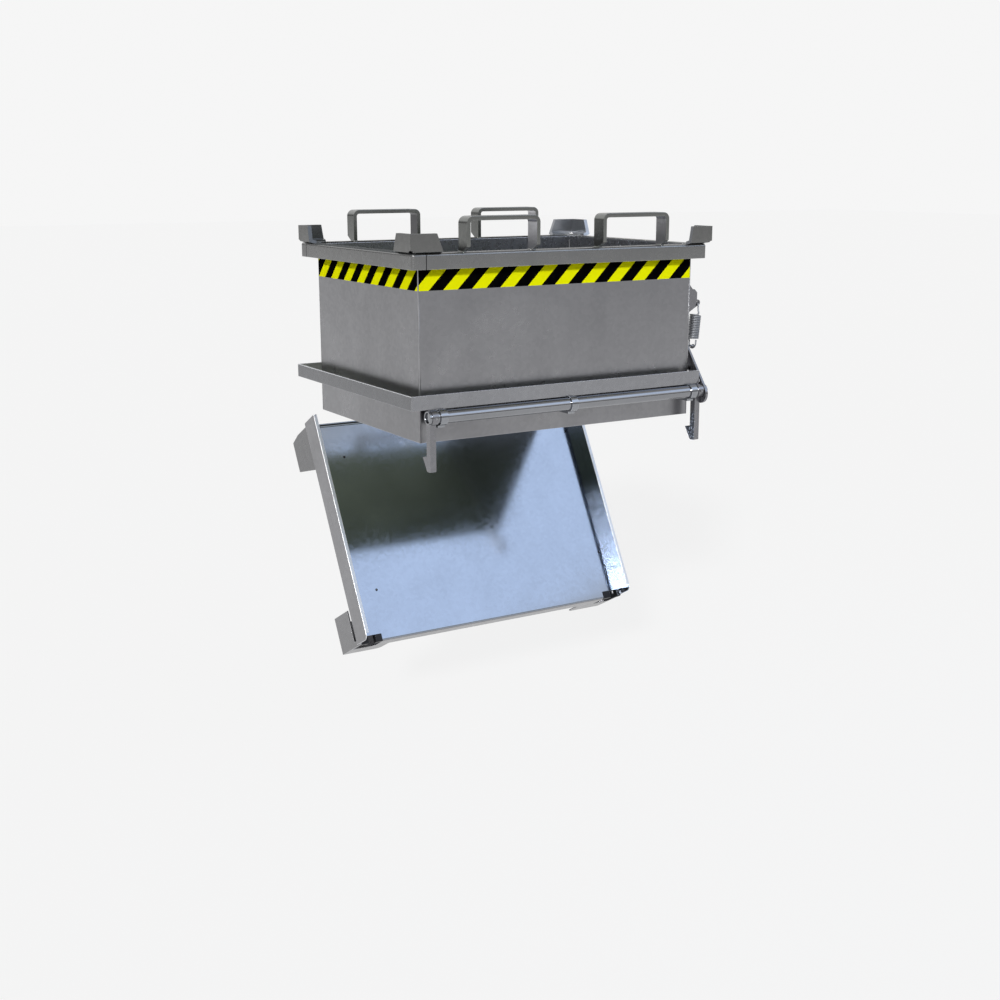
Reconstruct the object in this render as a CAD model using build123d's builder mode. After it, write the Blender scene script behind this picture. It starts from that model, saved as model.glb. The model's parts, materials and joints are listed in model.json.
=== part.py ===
from build123d import *
from math import cos, pi, radians, sin, sqrt
import os

# Bottom-opening site container in galvanised steel, hanging on fork tines with its floor swung open.
# Millimetres, +X to the right along the front, +Y to the rear, +Z up. The origin is the middle of the
# lift plane, the underside of the four fork loops.

os.makedirs("parts", exist_ok=True)

# Body: outside of the four walls, and the height from their lower edge to the rim's top
wall_length = 1200.0
wall_depth = 848.0
wall_sheet = 4.0
body_height = 669.0

# Rim: a flange folded outward round the top, wider at the rear, with a lip hanging from it
rim_overhang = 42.0
rim_rear_overhang = 70.0
rim_lip = 56.0
rim_sheet = 4.0
rim_bend = 10.0
rim_corner = 12.0
rim_wrap = 55.0
seam_gap = 1.0

# Fork loops: bent flat bar, with the clear space for one tine
loop_clear = 108.0
loop_span = 272.0
loop_spacing = 576.0
bar_thick = 15.0
bar_width = 62.0
bar_bend = 10.0
loop_inset = 7.0
toe_rise = 20.0

# Stacking corners: joggled plates that take the feet of the next container, long and short in turn
corner_plate = 16.0
corner_height = 67.0
long_wing = 115.0
long_taper = 26.0
short_wing = 87.0
short_taper = 11.0
joggle_rise = 5.0
joggle_lag = 9.0
relief_radius = 11.0

# Lower band: an angle with its flat leg below, so that it is open at the top
band_standoff = 65.0
band_rear_standoff = 88.0
band_rise = 130.0
band_height = 51.0
band_sheet = 5.0
band_end_past_wall = 6.0
band_right_start = 174.0

# Hazard tape round the walls, under the rim
tape_height = 110.0
tape_below_rim = 21.5
tape_thick = 0.6
tape_margin = 4.0

# Release shaft along the front, in three bearings bolted under the band
shaft_radius = 24.0
shaft_wall = 5.0
shaft_standoff = 69.0
shaft_rise = 102.0
shaft_left_past_wall = 6.0
shaft_right_past_lever = 8.0
running_fit = 0.06
seat_fit = 0.05
bearing_width = 28.0
bearing_radius = 30.0
left_bearing_inset = 49.0
right_bearing_inset = 38.0
bearing_back = 58.0
bearing_foot = 66.0
bolt_radius = 5.0
bolt_hole_play = 0.5
bolt_head = 8.5
bolt_head_height = 6.0
bolt_depth = 40.0
bolt_back = 42.0

# Hooks on the shaft: a flat bar with a barb, turned in by the latch angle when the floor is shut
hook_thick = 24.0
left_hook_inset = 15.0
right_hook_inset = 3.5
hub_radius = 27.0
hook_front = -1.0
hook_bar = 27.0
hook_length = 197.0
hook_toe = 5.0
barb_drop = 142.0
barb_reach = 30.0
latch_angle = 13.0
cross_pin_radius = 4.0
cross_pin_proud = 3.0

# Release lever on the right end of the shaft, and the pin that the spring pulls on
lever_gap = 2.0
lever_thick = 10.0
lever_boss = 37.0
boss_drop = 13.0
lever_tip = 13.0
lever_pin_back = 105.0
lever_pin_up = 162.0
spring_pin_radius = 5.0
spring_pin_head = 7.0
spring_pin_past = 1.0
spring_pin_rim = 2.0
stop_radius = 9.0
stop_share = 0.6
stop_past_lever = 2.0
stop_gap = 0.3

# Return spring: close-wound wire with a hook at each end, beside the right wall and leaning outward
wire = 6.0
coil_radius = 20.0
coil_turns = 15
coil_pitch = 6.6
spring_from_lever = 27.5
spring_lean = 5.8
spring_seat_gap = 0.3
lower_leg = 17.0
lower_return = 13.0
upper_leg = 36.0
upper_hook = 11.0
hook_bend_angle = 30.0

# Spring bracket: a plate on the right wall with an eye for the upper spring hook
bracket_plate = 10.0
bracket_rise = 534.0
bracket_foot = 385.0
bracket_neck = 40.0
bracket_shoulder = 62.0
shoulder_top = 488.0
shoulder_corner = 13.0
eye_radius = 6.0
eye_lug = 12.0

# Floor flap: a folded pan between two side plates, given in its shut place
floor_overhang = 40.0
floor_drop = 4.0
pan_sheet = 4.0
pan_bend = 9.0
front_flange = 90.0
rear_lip = 15.0
side_sheet = 4.0
side_up = 77.0
side_down = 31.0
side_front_setback = 7.0
side_rear_past = 24.0
side_round = 26.0
hem_width = 15.0
pocket_width = 96.0
drain_radius = 5.0
drain_from_left = 121.0
drain_from_right = 56.0
drain_from_front = 209.0
drain_from_rear = 148.0

# Catch blocks in the front corners: slotted for the hook bars, which hold them from below
catch_depth = 24.0
catch_front_play = 3.0
catch_lift_play = 1.4
slot_play = 4.0

# Feet under the flap, which stand in the stacking corners of the container below
foot_plate = 6.0
foot_height = 205.0
foot_nest_play = 2.0
front_foot_length = 153.0
front_foot_width = 168.0
front_foot_drop = 61.0
foot_neck = 22.0
foot_round = 25.0
foot_hook_room = 17.0
gusset_width = 150.0
gusset_depth = 116.0
gusset_nose = 36.0
rear_foot_length = 130.0
rear_foot_root = 175.0
rear_foot_slope = 39.0
rear_foot_past = 13.0

# Stiffening channels under the pan
channel_width = 60.0
channel_height = 35.0
channel_sheet = 4.0
channel_bend = 7.0

# Hinges at the rear: clevis brackets on the body, ears on the flap
open_angle = 61.0
hinge_back = 72.0
hinge_drop = 21.5
hinge_spacing = 600.0
hinge_pin_radius = 12.0
hinge_pin_head = 18.0
hinge_pin_rim = 4.0
hinge_boss = 26.0
clevis_plate = 10.0
clevis_play = 1.0
clevis_foot = 20.0
clevis_pad = 6.0
ear_plate = 16.0
ear_length = 164.0
ear_nose = 16.0
lip_notch_play = 3.0
tail_length = 45.0
tail_half = 10.0
tail_stop = 36.0
tail_stop_radius = 8.0

# Levels and lines that follow from the sizes above
rim_top = -loop_clear
sill = rim_top - body_height
half_l = wall_length / 2
half_d = wall_depth / 2
rim_x = half_l + rim_overhang
rim_y = half_d + rim_overhang
rim_rear_y = half_d + rim_rear_overhang
floor_x = half_l + floor_overhang
floor_y = half_d + floor_overhang
loop_x = loop_spacing / 2
loop_y = half_d - wall_sheet + loop_inset
band_bottom = sill + band_rise
band_x = half_l + band_standoff
band_front = -half_d - band_standoff
band_rear = half_d + band_rear_standoff
shaft_y = -half_d - shaft_standoff
shaft_z = sill + shaft_rise
left_hook_x = -half_l + left_hook_inset
right_hook_x = half_l - right_hook_inset
lever_x = right_hook_x + hook_thick / 2 + lever_gap
spring_pin_y = shaft_y + lever_pin_back
spring_pin_z = shaft_z + lever_pin_up
spring_x = lever_x + lever_thick + spring_from_lever
hinge_y = floor_y + hinge_back
hinge_z = sill - hinge_drop
hinge_x = hinge_spacing / 2
clevis_inner = ear_plate / 2 + clevis_play
clevis_outer = clevis_inner + clevis_plate
floor_top = sill - floor_drop
pan_half = floor_x - side_sheet
pan_front = -floor_y
pan_rear = floor_y
sole = floor_top - foot_height


def turned(y, z, angle):
    """A point (y, z) carried round the X axis by an angle in degrees."""
    a = radians(angle)
    return y * cos(a) - z * sin(a), y * sin(a) + z * cos(a)


def swung(y, z):
    """Where a point of the shut flap lies once the flap has swung open on its hinge."""
    turned_y, turned_z = turned(y - hinge_y, z - hinge_z, open_angle)
    return hinge_y + turned_y, hinge_z + turned_z


def latched(y, z):
    """Where a point of a hook lies, given from the shaft axis, when the hook is turned in."""
    turned_y, turned_z = turned(y, z, latch_angle)
    return shaft_y + turned_y, shaft_z + turned_z


# The three base planes carried round the hinge: sketches on them use the shut flap's coordinates
flap_origin = (0, *swung(0, 0))
flap_back = Vector(0, cos(radians(open_angle)), sin(radians(open_angle)))
flap_up = Vector(0, -sin(radians(open_angle)), cos(radians(open_angle)))
flap_xy = Plane(flap_origin, x_dir=(1, 0, 0), z_dir=flap_up)
flap_yz = Plane(flap_origin, x_dir=flap_back, z_dir=(1, 0, 0))
flap_xz = Plane(flap_origin, x_dir=(1, 0, 0), z_dir=-flap_back)

# The barb's upper face slopes so that it is level when latched; the catch block lies just above it
barb_tip_y = hook_front + hook_bar + barb_reach
barb_tip_z = -barb_drop - barb_reach * sin(radians(latch_angle)) / cos(radians(latch_angle))
barb_root_y, barb_root_z = latched(hook_front + hook_bar, -barb_drop)
catch_front = barb_root_y + catch_front_play
catch_bottom = barb_root_z + catch_lift_play


def save(piece, name):
    """Labels a finished piece and writes it as one node."""
    piece.part.label = name
    export_step(piece.part, f"parts/{name}.step")


def to_side(side_x, side_y=1):
    """Mirrors the piece in hand, drawn at the rear right, to the side it belongs on."""
    if side_x < 0:
        mirror(about=Plane.YZ, mode=Mode.REPLACE)
    if side_y < 0:
        mirror(about=Plane.XZ, mode=Mode.REPLACE)


def upright_sheet(name, x_low, x_high, y_low, y_high, z_low, height):
    """A flat upright sheet, given by its plan corners: a wall or a strip of tape."""
    with BuildPart() as sheet:
        with BuildSketch(Plane.XY.offset(z_low)):
            with Locations(((x_low + x_high) / 2, (y_low + y_high) / 2)):
                Rectangle(x_high - x_low, y_high - y_low)
        extrude(amount=height)
    save(sheet, name)


def rim_piece(name, x_low, x_high, y_low, y_high):
    """One folded rim piece: the part of the whole rim that lies inside a plan rectangle."""
    width = 2 * rim_x
    depth = rim_y + rim_rear_y
    with BuildPart() as rim:
        with BuildSketch(Plane.XY.offset(rim_top - rim_lip)):
            with Locations((0, rim_rear_y - depth / 2)):
                RectangleRounded(width, depth, rim_corner)
        extrude(amount=rim_lip)
        fillet(rim.faces().sort_by(Axis.Z)[-1].edges(), rim_bend)
        with BuildSketch(Plane.XY.offset(rim_top - rim_lip)):
            with Locations((0, rim_rear_y - depth / 2)):
                RectangleRounded(width - 2 * rim_sheet, depth - 2 * rim_sheet, rim_corner - rim_sheet)
        extrude(amount=rim_lip - rim_sheet, mode=Mode.SUBTRACT)
        flange_underside = rim.faces().filter_by(Axis.Z).sort_by(Axis.Z)[-2]
        fillet(flange_underside.edges(), rim_bend - rim_sheet)
        with BuildSketch(Plane.XY.offset(rim_top - rim_sheet)):
            Rectangle(2 * (half_l - wall_sheet), 2 * (half_d - wall_sheet))
        extrude(amount=rim_sheet, mode=Mode.SUBTRACT)
        with BuildSketch(Plane.XY.offset(rim_top - rim_lip)):
            with Locations(((x_low + x_high) / 2, (y_low + y_high) / 2)):
                Rectangle(x_high - x_low, y_high - y_low)
        extrude(amount=rim_lip, mode=Mode.INTERSECT)
    save(rim, name)


def fork_loop(name, side_x, side_y):
    """A loop of bent flat bar whose legs stand on the rim, their outer corner cut back to its bend."""
    outer_span = loop_span + 2 * bar_thick
    outer_y = loop_y + bar_width
    with BuildPart() as loop:
        with BuildSketch(Plane.XZ.offset(-outer_y)) as arch:
            with Locations((loop_x, rim_top)):
                Rectangle(outer_span, loop_clear + bar_thick, align=(Align.CENTER, Align.MIN))
            fillet(arch.vertices().group_by(Axis.Y)[-1], bar_bend + bar_thick)
        extrude(amount=bar_width)
        with BuildSketch(Plane.XZ.offset(-outer_y)) as space:
            with Locations((loop_x, rim_top)):
                Rectangle(loop_span, loop_clear, align=(Align.CENTER, Align.MIN))
            fillet(space.vertices().group_by(Axis.Y)[-1], bar_bend)
        extrude(amount=bar_width, mode=Mode.SUBTRACT)
        with BuildSketch(Plane.YZ):
            with BuildLine():
                Polyline(
                    (rim_y - rim_bend, rim_top),
                    (outer_y, rim_top),
                    (outer_y, rim_top + toe_rise),
                    close=True,
                )
            make_face()
        extrude(amount=loop_x + outer_span, mode=Mode.SUBTRACT)
        to_side(side_x, side_y)
    save(loop, name)


def stacking_corner(name, side_x, side_y, wing, taper):
    """A joggled plate bent round the corner, standing on the rim and stepping outward above it."""
    wing_x = floor_x - wing
    wing_y = floor_y - wing
    top = rim_top + corner_height
    reach = floor_x + corner_plate
    with BuildPart() as corner:
        with BuildLine() as run:
            Polyline((wing_x, floor_y, rim_top), (floor_x, floor_y, rim_top), (floor_x, wing_y, rim_top))
        with BuildSketch(Plane((wing_x, floor_y, rim_top), x_dir=(0, 1, 0), z_dir=(1, 0, 0))):
            with BuildLine():
                Polyline(
                    (0, 0),
                    (corner_plate, joggle_rise),
                    (corner_plate, corner_height),
                    (0, corner_height),
                    (0, joggle_rise + joggle_lag),
                    (-corner_plate, joggle_lag),
                    (-corner_plate, 0),
                    close=True,
                )
            make_face()
        sweep(path=run.wires()[0], transition=Transition.RIGHT)
        with BuildSketch(Plane.XZ.offset(-reach)):
            with BuildLine():
                Polyline((wing_x, rim_top), (wing_x + taper, top), (wing_x, top), close=True)
            make_face()
        extrude(amount=reach, mode=Mode.SUBTRACT)
        with BuildSketch(Plane.YZ):
            with BuildLine():
                Polyline((wing_y, rim_top), (wing_y + taper, top), (wing_y, top), close=True)
            make_face()
        extrude(amount=reach, mode=Mode.SUBTRACT)
        with BuildSketch(Plane((floor_x, floor_y, rim_top), x_dir=(0, 0, 1), z_dir=(1, 1, 0))):
            Circle(relief_radius)
        extrude(amount=2 * corner_plate, both=True, mode=Mode.SUBTRACT)
        to_side(side_x, side_y)
    save(corner, name)


def band_piece(name, corners, bolt_places=()):
    """One length of the lower angle, given by its plan corners, mitred to its neighbours."""
    with BuildPart() as band:
        with BuildSketch(Plane.XY.offset(band_bottom)):
            with BuildLine():
                Polyline(*corners, close=True)
            make_face()
        extrude(amount=band_height)
        with BuildSketch(Plane.XY.offset(band_bottom + band_sheet)):
            with Locations((0, (band_front + band_rear) / 2)):
                Rectangle(2 * (band_x - band_sheet), band_rear - band_front - 2 * band_sheet)
        extrude(amount=band_height, mode=Mode.SUBTRACT)
        if bolt_places:
            with BuildSketch(Plane.XY.offset(band_bottom)):
                with Locations(*bolt_places):
                    Circle(bolt_radius + bolt_hole_play)
            extrude(amount=band_sheet, mode=Mode.SUBTRACT)
    save(band, name)


def bearing(name, x):
    """A bearing block under the front band: a ring round the shaft with a foot for its bolt."""
    with BuildPart() as block:
        with BuildSketch(Plane.YZ.offset(x - bearing_width / 2)):
            with Locations((shaft_y, shaft_z)):
                Circle(bearing_radius)
            with Locations((shaft_y, band_bottom)):
                Rectangle(bearing_back, bearing_foot, align=(Align.MIN, Align.MAX))
            with Locations((shaft_y, band_bottom)):
                Rectangle(
                    4 * bearing_radius, bearing_radius, align=(Align.CENTER, Align.MIN), mode=Mode.SUBTRACT
                )
            with Locations((shaft_y, shaft_z)):
                Circle(shaft_radius + running_fit, mode=Mode.SUBTRACT)
        extrude(amount=bearing_width)
        with BuildSketch(Plane.XY.offset(band_bottom)):
            with Locations((x, shaft_y + bolt_back)):
                Circle(bolt_radius + bolt_hole_play)
        extrude(amount=-bolt_depth - bolt_hole_play, mode=Mode.SUBTRACT)
    save(block, name)


def bearing_bolts(places):
    """The bolts of the bearings, with their heads on the band's leg and their shanks in the blocks."""
    with BuildPart() as bolts:
        with BuildSketch(Plane.XY.offset(band_bottom - bolt_depth)):
            with Locations(*places):
                Circle(bolt_radius)
        extrude(amount=bolt_depth + band_sheet)
        with BuildSketch(Plane.XY.offset(band_bottom + band_sheet)):
            with Locations(*places):
                RegularPolygon(bolt_head, 6)
        extrude(amount=bolt_head_height)
    save(bolts, "bearing_bolts")


def release_shaft():
    """The tube that carries hooks and lever, cross-drilled for the hook pins."""
    start = -half_l - shaft_left_past_wall
    end = lever_x + lever_thick + shaft_right_past_lever
    with BuildPart() as shaft:
        with BuildSketch(Plane.YZ.offset(start)):
            with Locations((shaft_y, shaft_z)):
                Circle(shaft_radius)
                Circle(shaft_radius - shaft_wall, mode=Mode.SUBTRACT)
        extrude(amount=end - start)
        with BuildSketch(Plane.XZ.offset(-shaft_y)):
            with Locations((left_hook_x, shaft_z), (right_hook_x, shaft_z)):
                Circle(cross_pin_radius + seat_fit)
        extrude(amount=2 * shaft_radius, both=True, mode=Mode.SUBTRACT)
    save(shaft, "release_shaft")


def hook(name, x):
    """A hook: hub, flat bar and barb in one plate, pinned to the shaft."""
    back = hook_front + hook_bar
    with BuildPart() as plate:
        with BuildSketch(Plane((x - hook_thick / 2, shaft_y, shaft_z), (0, 1, 0), (1, 0, 0))) as outline:
            with BuildLine():
                Polyline(
                    (hook_front, 0),
                    (back, 0),
                    (back, -barb_drop),
                    (barb_tip_y, barb_tip_z),
                    (back - hook_toe / 2, -hook_length),
                    (hook_front, -hook_length),
                    close=True,
                )
            make_face()
            fillet(outline.vertices().group_by(Axis.Y)[0], hook_toe)
            Circle(hub_radius)
            Circle(shaft_radius + seat_fit, mode=Mode.SUBTRACT)
        extrude(amount=hook_thick)
        with BuildSketch(Plane.XZ.offset(-shaft_y)):
            with Locations((x, shaft_z)):
                Circle(cross_pin_radius + seat_fit)
        extrude(amount=2 * hub_radius, both=True, mode=Mode.SUBTRACT)
    save(plate, name)


def hook_pins():
    """The two pins that go through hub and shaft."""
    with BuildPart() as pins:
        with BuildSketch(Plane.XZ.offset(-shaft_y)):
            with Locations((left_hook_x, shaft_z), (right_hook_x, shaft_z)):
                Circle(cross_pin_radius)
        extrude(amount=hub_radius + cross_pin_proud, both=True)
    save(pins, "hook_pins")


def release_lever():
    """The lever plate: a boss round the shaft, a little low on it, tapering to the spring pin."""
    with BuildPart() as lever:
        with BuildSketch(Plane.YZ.offset(lever_x)):
            with Locations((shaft_y, shaft_z - boss_drop)):
                Circle(lever_boss)
            with Locations((spring_pin_y, spring_pin_z)):
                Circle(lever_tip)
            make_hull()
            with Locations((shaft_y, shaft_z)):
                Circle(shaft_radius + seat_fit, mode=Mode.SUBTRACT)
            with Locations((spring_pin_y, spring_pin_z)):
                Circle(spring_pin_radius + seat_fit, mode=Mode.SUBTRACT)
        extrude(amount=lever_thick)
    save(lever, "release_lever")


def headed_pin(name, y, z, shank_start, shank_end, radius, head_radius, head):
    """A pin along X with a flat head outside each end of its shank."""
    with BuildPart() as pin:
        with BuildSketch(Plane((0, y, z), x_dir=(1, 0, 0), z_dir=(0, -1, 0))):
            with BuildLine():
                Polyline(
                    (shank_start - head, 0),
                    (shank_start - head, head_radius),
                    (shank_start, head_radius),
                    (shank_start, radius),
                    (shank_end, radius),
                    (shank_end, head_radius),
                    (shank_end + head, head_radius),
                    (shank_end + head, 0),
                    close=True,
                )
            make_face()
        revolve(axis=Axis((0, y, z), (1, 0, 0)))
    save(pin, name)


def lever_stop():
    """A round lug on the right wall behind the lever, which it rests on when tripped."""
    arm_up = lever_pin_up + boss_drop
    arm = sqrt(lever_pin_back**2 + arm_up**2)
    lean = (lever_boss - lever_tip) / arm
    edge = (lever_boss - stop_share * arm * lean) / sqrt(1 - lean**2)
    away = edge + (stop_gap + stop_radius) / sqrt(1 - lean**2)
    along_y = lever_pin_back / arm
    along_z = arm_up / arm
    y = shaft_y + stop_share * lever_pin_back + away * along_z
    z = shaft_z - boss_drop + stop_share * arm_up - away * along_y
    with BuildPart() as lug:
        with BuildSketch(Plane.YZ.offset(half_l)):
            with Locations((y, z)):
                Circle(stop_radius)
        extrude(amount=lever_x + lever_thick + stop_past_lever - half_l)
    save(lug, "lever_stop")


def spring_bracket(eye):
    """A plate standing off the right wall, with a shoulder and a lug with the eye for the spring."""
    shoulder = half_l + bracket_shoulder
    with BuildPart() as plate:
        with BuildSketch(Plane.XZ.offset(-spring_pin_y - bracket_plate / 2)):
            with BuildLine():
                Polyline(
                    (half_l, sill + bracket_foot),
                    (half_l, sill + bracket_rise),
                    (half_l + bracket_neck, sill + shoulder_top),
                    (shoulder - shoulder_corner, sill + shoulder_top),
                    (shoulder, sill + shoulder_top - shoulder_corner),
                    (shoulder, eye.Z),
                    (eye.X, eye.Z - eye_lug),
                    close=True,
                )
            make_face()
            with Locations((eye.X, eye.Z)):
                Circle(eye_lug)
                Circle(eye_radius, mode=Mode.SUBTRACT)
        extrude(amount=bracket_plate)
    save(plate, "spring_bracket")


def biarc(start, start_way, end, end_way):
    """Two arcs from one point and direction to another, smooth where they meet."""
    gap = end - start
    ways = start_way + end_way
    bend = 2 * (1 - start_way.dot(end_way))
    pull = gap.dot(ways)
    reach = (sqrt(pull**2 + bend * gap.dot(gap)) - pull) / bend
    first = start + start_way * reach
    last = end - end_way * reach
    middle = (first + last) * 0.5
    TangentArc(start, middle, tangent=start_way)
    TangentArc(middle, end, tangent=(last - first).normalized())


def return_spring():
    """The extension spring: a lower hook under the pin, the coil, and an upper hook through the eye."""
    lean = radians(spring_lean)
    skew = radians(hook_bend_angle)
    across = Vector(cos(lean), 0, -sin(lean))
    back = Vector(0, 1, 0)
    rise = Vector(sin(lean), 0, cos(lean))
    pin = Vector(spring_x, spring_pin_y, spring_pin_z)
    lower = pin + rise * (coil_radius - spring_pin_radius - spring_seat_gap - wire / 2)
    coil = lower + rise * lower_leg
    lead = rise * (coil_pitch / (2 * pi))
    last_angle = 2 * pi * coil_turns - pi - skew
    upper = coil + lead * last_angle + rise * upper_leg

    def on_coil(angle):
        """Point and direction of the coil at an angle counted from its +Y side."""
        out = (back * cos(angle) - across * sin(angle)) * coil_radius
        along = (across * cos(angle) + back * sin(angle)) * -coil_radius
        return coil + out + lead * angle, (along + lead).normalized()

    lower_near = lower + back * coil_radius
    lower_far = lower - back * coil_radius
    upper_near = upper + back * upper_hook
    upper_far = upper - back * upper_hook
    half_wire = rise * (wire / 2)
    free_end = rise * wire
    with BuildPart() as spring:
        with BuildLine() as path:
            Line(lower_far + rise * lower_return, lower_far)
            ThreePointArc(lower_far, lower - rise * coil_radius, lower_near)
            Line(lower_near, lower_near + half_wire)
            biarc(lower_near + half_wire, rise, *on_coil(skew))
            angle = skew
            while angle < last_angle - 0.001:
                step = min(pi, last_angle - angle)
                biarc(*on_coil(angle), *on_coil(angle + step))
                angle += step
            biarc(*on_coil(last_angle), upper_far - half_wire, rise)
            Line(upper_far - half_wire, upper_far)
            ThreePointArc(upper_far, upper + rise * upper_hook, upper_near)
            Line(upper_near, upper_near - free_end)
        with BuildSketch(Plane(lower_far + rise * lower_return, z_dir=-rise)):
            Circle(wire / 2)
        sweep(path=path.wires()[0])
    save(spring, "return_spring")

    points = []
    run = 0.0
    for edge in path.wires()[0].order_edges():
        for step in range(12):
            points.append((run + edge.length * step / 12, edge @ (step / 12)))
        run += edge.length
    least = min(
        (p - q).length
        for i, (at_p, p) in enumerate(points)
        for at_q, q in points[i + 1:]
        if at_q - at_p > 4 * wire
    )
    print(f"spring: least gap of the wire to itself {least - wire:.2f} mm, length {run:.0f} mm")
    print(f"spring: volume {spring.part.volume:.0f}, section times length {pi * wire**2 / 4 * run:.0f}")
    inside = upper_hook - wire / 2
    sag = inside - sqrt(inside**2 - (bracket_plate / 2) ** 2)
    return upper + rise * (inside - sag - spring_seat_gap + eye_radius)


def hinge_bracket(name, side):
    """A clevis under the rear band: two plates on a pad, with a bar that stops the ear's tail."""
    stop_y, stop_z = swung(
        hinge_y + tail_stop, hinge_z + tail_half + stop_gap + tail_stop_radius
    )
    with BuildPart() as clevis:
        with BuildSketch(Plane.YZ.offset(hinge_x - clevis_outer)):
            with BuildLine():
                Polyline(
                    (half_d, band_bottom),
                    (band_rear, band_bottom),
                    (hinge_y + hinge_boss, hinge_z),
                    (hinge_y - hinge_boss, hinge_z),
                    (half_d, sill + clevis_foot),
                    close=True,
                )
            make_face()
            with Locations((hinge_y, hinge_z)):
                Circle(hinge_boss)
                Circle(hinge_pin_radius + seat_fit, mode=Mode.SUBTRACT)
        extrude(amount=2 * clevis_outer)
        with BuildSketch(Plane.YZ.offset(hinge_x - clevis_inner)):
            with Locations((half_d + clevis_pad, hinge_z - hinge_boss)):
                Rectangle(
                    2 * hinge_back + hinge_boss, band_rise + 4 * hinge_boss, align=(Align.MIN, Align.MIN)
                )
        extrude(amount=2 * clevis_inner, mode=Mode.SUBTRACT)
        with BuildSketch(Plane.YZ.offset(hinge_x - clevis_inner)):
            with Locations((stop_y, stop_z)):
                Circle(tail_stop_radius)
        extrude(amount=2 * clevis_inner)
        to_side(side)
    save(clevis, name)


def floor_pan():
    """The folded floor sheet: lip at the rear, flange at the front, cut out for catches and brackets."""
    lip_face = pan_rear - pan_sheet
    with BuildPart() as pan:
        with BuildSketch(flap_yz.offset(-pan_half)):
            with BuildLine():
                FilletPolyline(
                    (lip_face, floor_top + rear_lip),
                    (lip_face, floor_top),
                    (pan_front, floor_top),
                    (pan_front, floor_top - front_flange),
                    radius=pan_bend,
                )
                offset(amount=pan_sheet, side=Side.LEFT)
            make_face()
        extrude(amount=2 * pan_half)
        with BuildSketch(flap_xy.offset(floor_top)):
            for side in (-1, 1):
                with Locations((side * pan_half, pan_front)):
                    Rectangle(2 * pocket_width, 2 * (catch_front - pan_front))
            for x in (drain_from_left - pan_half, pan_half - drain_from_right):
                with Locations((x, pan_front + drain_from_front), (x, pan_rear - drain_from_rear)):
                    Circle(drain_radius)
        extrude(amount=-front_flange, mode=Mode.SUBTRACT)
        with BuildSketch(flap_xz.offset(-pan_rear)):
            with Locations((-hinge_x, floor_top), (hinge_x, floor_top)):
                Rectangle(2 * (clevis_outer + lip_notch_play), rear_lip, align=(Align.CENTER, Align.MIN))
        extrude(amount=pan_sheet + pan_bend, mode=Mode.SUBTRACT)
    save(pan, "floor_pan")


def side_plate(name, side):
    """A side plate of the flap: rounded at its upper front corner, with a hem along the top."""
    front = pan_front + side_front_setback
    rear = pan_rear + side_rear_past
    with BuildPart() as plate:
        with BuildSketch(flap_yz.offset(pan_half)) as outline:
            with Locations((front, floor_top - side_down)):
                Rectangle(rear - front, side_up + side_down, align=(Align.MIN, Align.MIN))
            fillet(outline.vertices().group_by(Axis.Y)[-1].sort_by(Axis.X)[0], side_round)
        extrude(amount=side_sheet)
        with BuildSketch(flap_xz.offset(-rear)):
            with Locations((pan_half + side_sheet, floor_top + side_up)):
                Rectangle(hem_width, side_sheet, align=(Align.MAX, Align.MAX))
        extrude(amount=rear - front - side_round)
        to_side(side)
    save(plate, name)


def channel(name, x, rear):
    """A stiffening channel welded under the pan, its legs up against the sheet."""
    under = floor_top - pan_sheet
    front = pan_front + pan_sheet
    low = under - channel_height
    with BuildPart() as profile:
        with BuildSketch(flap_xz.offset(-rear)):
            with BuildLine():
                FilletPolyline(
                    (x - channel_width / 2, under),
                    (x - channel_width / 2, low),
                    (x + channel_width / 2, low),
                    (x + channel_width / 2, under),
                    radius=channel_bend,
                )
                offset(amount=channel_sheet, side=Side.LEFT)
            make_face()
        extrude(amount=rear - front - pan_bend)
    save(profile, name)


def front_foot(name, side):
    """A front foot: a side wing hung by its neck, a wing under the front flange and a gusset between."""
    front = pan_front + foot_nest_play
    flange_low = floor_top - front_flange
    notch_low = shaft_z - hook_length - foot_hook_room
    under = floor_top - pan_sheet
    wing_top = floor_top - front_foot_drop
    with BuildPart() as foot:
        with BuildSketch(flap_yz.offset(pan_half - foot_plate)):
            with BuildLine():
                Polyline(
                    (front, sole),
                    (front, under),
                    (front + foot_neck, under),
                    (front + foot_neck, wing_top),
                    (front + front_foot_length, wing_top),
                    (front + front_foot_length, sole),
                    close=True,
                )
            make_face()
        extrude(amount=foot_plate)
        with BuildSketch(flap_xz.offset(-front)) as wing:
            with BuildLine():
                Polyline(
                    (pan_half, sole),
                    (pan_half - front_foot_width, sole),
                    (pan_half - front_foot_width, flange_low),
                    (pan_half - pocket_width, flange_low),
                    (pan_half - pocket_width, notch_low),
                    (pan_half, notch_low),
                    close=True,
                )
            make_face()
            fillet(wing.vertices().group_by(Axis.Y)[0].sort_by(Axis.X)[0], foot_round)
        extrude(amount=-foot_plate)
        with BuildSketch(flap_xy.offset(notch_low)):
            with BuildLine():
                Polyline(
                    (pan_half, front),
                    (pan_half - gusset_width, front),
                    (pan_half - gusset_width, front + gusset_nose),
                    (pan_half - gusset_nose, front + gusset_depth),
                    (pan_half, front + gusset_depth),
                    close=True,
                )
            make_face()
        extrude(amount=-foot_plate)
        to_side(side)
    save(foot, name)


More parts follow.
